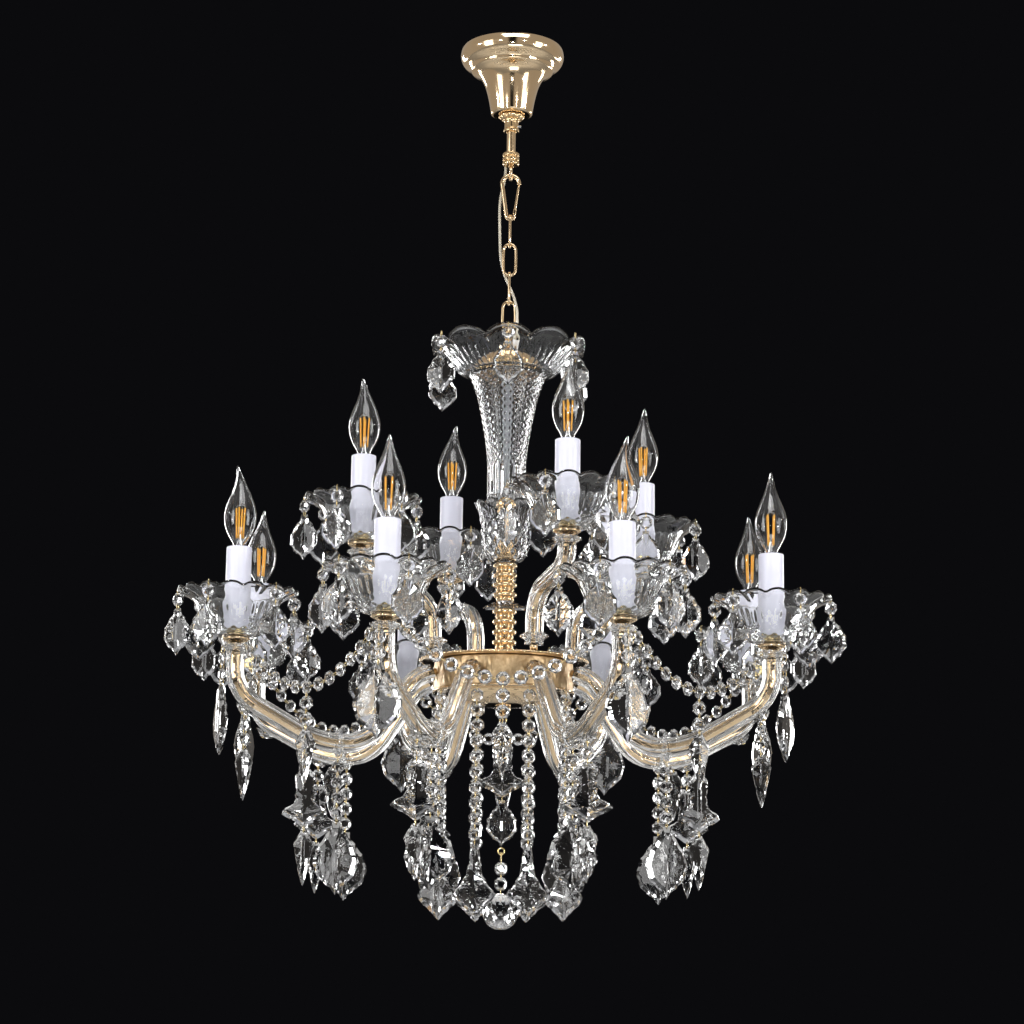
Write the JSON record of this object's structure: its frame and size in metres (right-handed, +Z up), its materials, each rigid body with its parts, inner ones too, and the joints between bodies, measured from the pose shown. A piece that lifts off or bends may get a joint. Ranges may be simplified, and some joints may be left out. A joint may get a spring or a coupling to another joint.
{
  "type": "crystal chandelier",
  "caption": "Candle-style crystal chandelier with glass-cased arms, drip cups and hanging prisms, on a chain from a ceiling canopy.",
  "frame": {"origin": "centre of the ceiling bracket's top face, in the ceiling plane", "axes": "+Z up along the hanging axis; -Y is the front, towards the picture's viewpoint"},
  "size_m": [0.7264, 0.7029, 1.0118],
  "materials": {
    "champagne_gold": "champagne gold plate, polished and lacquered",
    "zinc_steel": "zinc plated",
    "brass_wire": "pale gold-plated wire",
    "crystal": "machine-cut lead-free crystal, polished",
    "cut_glass": "diamond-cut clear glass",
    "pressed_glass": "pressed clear glass with leaves and flutes",
    "bulb_glass": "blown clear glass",
    "white_plastic": "moulded",
    "white_sleeve": "smooth satin tube",
    "clear_cable": "clear jacket over fine strands"
  },
  "bodies": {
    "ceiling": {"ceiling_bracket": "zinc_steel", "stem_nut": "zinc_steel", "terminal_block": "white_plastic", "hanger_stem": "champagne_gold", "hanger_ferrule": "champagne_gold", "hanger_loop": "champagne_gold", "power_cable": "clear_cable"},
    "canopy": {"canopy": "champagne_gold", "canopy_collar": "champagne_gold", "collar_screw": "zinc_steel"},
    "hook": {"snap_hook": "champagne_gold", "gate_rivet": "champagne_gold"},
    "gate": {"hook_gate": "champagne_gold"},
    "link_1": {"chain_link_1": "champagne_gold"},
    "link_2": {"chain_link_2": "champagne_gold"},
    "link_3": {"chain_link_3": "champagne_gold"},
    "link_4": {"chain_link_4": "champagne_gold"},
    "frame": {"crown_loop": "champagne_gold", "crown_cap": "champagne_gold", "cable_gland": "white_plastic", "crown_dish": "pressed_glass", "crown_column": "cut_glass", "centre_rod": "zinc_steel", "cup_spacer": "champagne_gold", "glass_cup": "cut_glass", "upper_baluster": "champagne_gold", "star_collar": "crystal", "lower_baluster": "champagne_gold", "hub_plate": "champagne_gold", "hub_drum": "champagne_gold", "hub_cover": "champagne_gold", "hub_eye": "champagne_gold", "lower_arm_tubes": "champagne_gold", "upper_arm_tubes": "champagne_gold", "lower_arm_glass": "pressed_glass", "upper_arm_glass": "pressed_glass", "arm_collars": "pressed_glass", "lamp_leads": "clear_cable", "rosettes": "crystal", "rosette_pins": "brass_wire", "arm_seats": "champagne_gold", "bobeche_nuts": "champagne_gold", "lower_bobeches": "pressed_glass", "upper_bobeches": "pressed_glass", "lampholders": "white_plastic", "candle_sleeves": "white_sleeve", "bulbs": "bulb_glass", "rim_beads": "crystal", "rim_drops": "crystal", "strand_beads": "crystal", "large_drops": "crystal", "plaques": "crystal", "spears": "crystal", "hub_kites": "crystal", "swag_beads": "crystal", "trim_clips": "brass_wire"},
    "centre_drop": {"centre_stones": "crystal", "centre_clips": "brass_wire"},
    "ball": {"ball_chain": "crystal", "bottom_ball": "crystal"}
  },
  "joints": [
    {"name": "canopy_slide", "type": "slide", "parent": "ceiling", "child": "canopy", "axis": [0, 0, 1], "range_m": [-0.02, 0]},
    {"name": "hook_swing", "type": "hinge", "parent": "ceiling", "child": "hook", "pos_m": [0, 0, -0.1573], "axis": [0, 1, 0], "range_deg": [-15, 15]},
    {"name": "gate_turn", "type": "hinge", "parent": "hook", "child": "gate", "pos_m": [0.00535, 0, -0.19493], "axis": [0, -1, 0], "range_deg": [0, 25], "stiffness_Nm_per_rad": 0.02},
    {"name": "link_1_swing", "type": "hinge", "parent": "hook", "child": "link_1", "pos_m": [0, 0, -0.20525], "axis": [1, 0, 0], "range_deg": [-10, 10]},
    {"name": "link_2_swing", "type": "hinge", "parent": "link_1", "child": "link_2", "pos_m": [0, 0, -0.2387], "axis": [0, 1, 0], "range_deg": [-10, 10]},
    {"name": "link_3_swing", "type": "hinge", "parent": "link_2", "child": "link_3", "pos_m": [0, 0, -0.2729], "axis": [1, 0, 0], "range_deg": [-10, 10]},
    {"name": "link_4_swing", "type": "hinge", "parent": "link_3", "child": "link_4", "pos_m": [0, 0, -0.3071], "axis": [0, 1, 0], "range_deg": [-10, 10]},
    {"name": "frame_swing", "type": "hinge", "parent": "link_4", "child": "frame", "pos_m": [0, 0, -0.3413], "axis": [1, 0, 0], "range_deg": [-10, 10], "deforming": ["power_cable"]},
    {"name": "drop_swing", "type": "hinge", "parent": "frame", "child": "centre_drop", "pos_m": [0, 0, -0.7827], "axis": [0, 1, 0], "range_deg": [-8, 8]},
    {"name": "ball_swing", "type": "hinge", "parent": "centre_drop", "child": "ball", "pos_m": [0, 0, -0.9301], "axis": [1, 0, 0], "range_deg": [-25, 25]}
  ]
}
